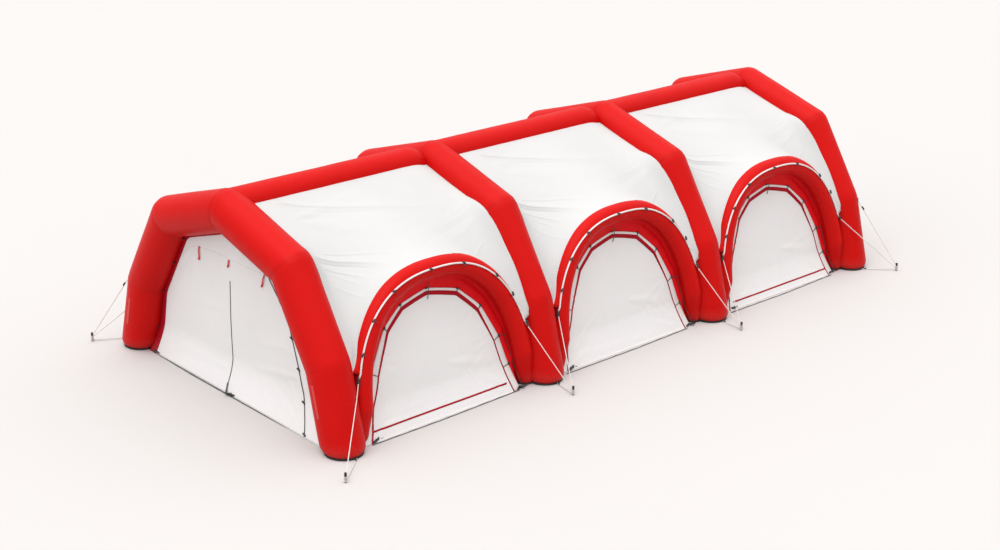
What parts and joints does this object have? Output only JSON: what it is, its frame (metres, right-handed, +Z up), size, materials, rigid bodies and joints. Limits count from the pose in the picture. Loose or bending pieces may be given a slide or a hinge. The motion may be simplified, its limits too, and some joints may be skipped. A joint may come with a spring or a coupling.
{
  "type": "inflatable emergency shelter",
  "caption": "Long inflatable shelter: polygonal red air arches joined by ridge tubes, white roof sheets, arched side walls under smaller leaning air arches, and guy ropes to pegs.",
  "frame": {"origin": "on the ground under the middle of the shelter, between its four arches", "axes": "+X along the ridge away from the front end, +Y to the far long side, +Z up"},
  "size_m": [13.05, 6.87, 3.3208],
  "materials": {
    "air_tube": "smooth coated fabric, satin",
    "roof_cloth": "coated white tent cloth",
    "wall_cloth": "coated pale grey tent cloth",
    "skirt_cloth": "coated red tent cloth",
    "ground_pad": "matt black rubber",
    "rope": "braided white cord",
    "peg": "dark painted steel"
  },
  "bodies": {
    "root": {"arch_1": "air_tube", "pad_near_1": "ground_pad", "peg_near_1": "peg", "pad_far_1": "ground_pad", "peg_far_1": "peg", "arch_2": "air_tube", "pad_near_2": "ground_pad", "peg_near_2": "peg", "pad_far_2": "ground_pad", "peg_far_2": "peg", "arch_3": "air_tube", "pad_near_3": "ground_pad", "peg_near_3": "peg", "pad_far_3": "ground_pad", "peg_far_3": "peg", "arch_4": "air_tube", "pad_near_4": "ground_pad", "peg_near_4": "peg", "pad_far_4": "ground_pad", "peg_far_4": "peg", "ridge_1": "air_tube", "side_arch_near_1": "air_tube", "roof_near_1": "roof_cloth", "skirt_near_1": "skirt_cloth", "wall_near_1": "wall_cloth", "edge_rope_near_1": "rope", "side_arch_far_1": "air_tube", "roof_far_1": "roof_cloth", "skirt_far_1": "skirt_cloth", "wall_far_1": "wall_cloth", "edge_rope_far_1": "rope", "ridge_2": "air_tube", "side_arch_near_2": "air_tube", "roof_near_2": "roof_cloth", "skirt_near_2": "skirt_cloth", "wall_near_2": "wall_cloth", "edge_rope_near_2": "rope", "side_arch_far_2": "air_tube", "roof_far_2": "roof_cloth", "skirt_far_2": "skirt_cloth", "wall_far_2": "wall_cloth", "edge_rope_far_2": "rope", "ridge_3": "air_tube", "side_arch_near_3": "air_tube", "roof_near_3": "roof_cloth", "skirt_near_3": "skirt_cloth", "wall_near_3": "wall_cloth", "edge_rope_near_3": "rope", "side_arch_far_3": "air_tube", "roof_far_3": "roof_cloth", "skirt_far_3": "skirt_cloth", "wall_far_3": "wall_cloth", "edge_rope_far_3": "rope", "high_guy_far_1": "rope", "high_guy_near_4": "rope", "high_guy_far_4": "rope", "gable_front": "wall_cloth", "gable_back": "wall_cloth"}
  },
  "joints": []
}
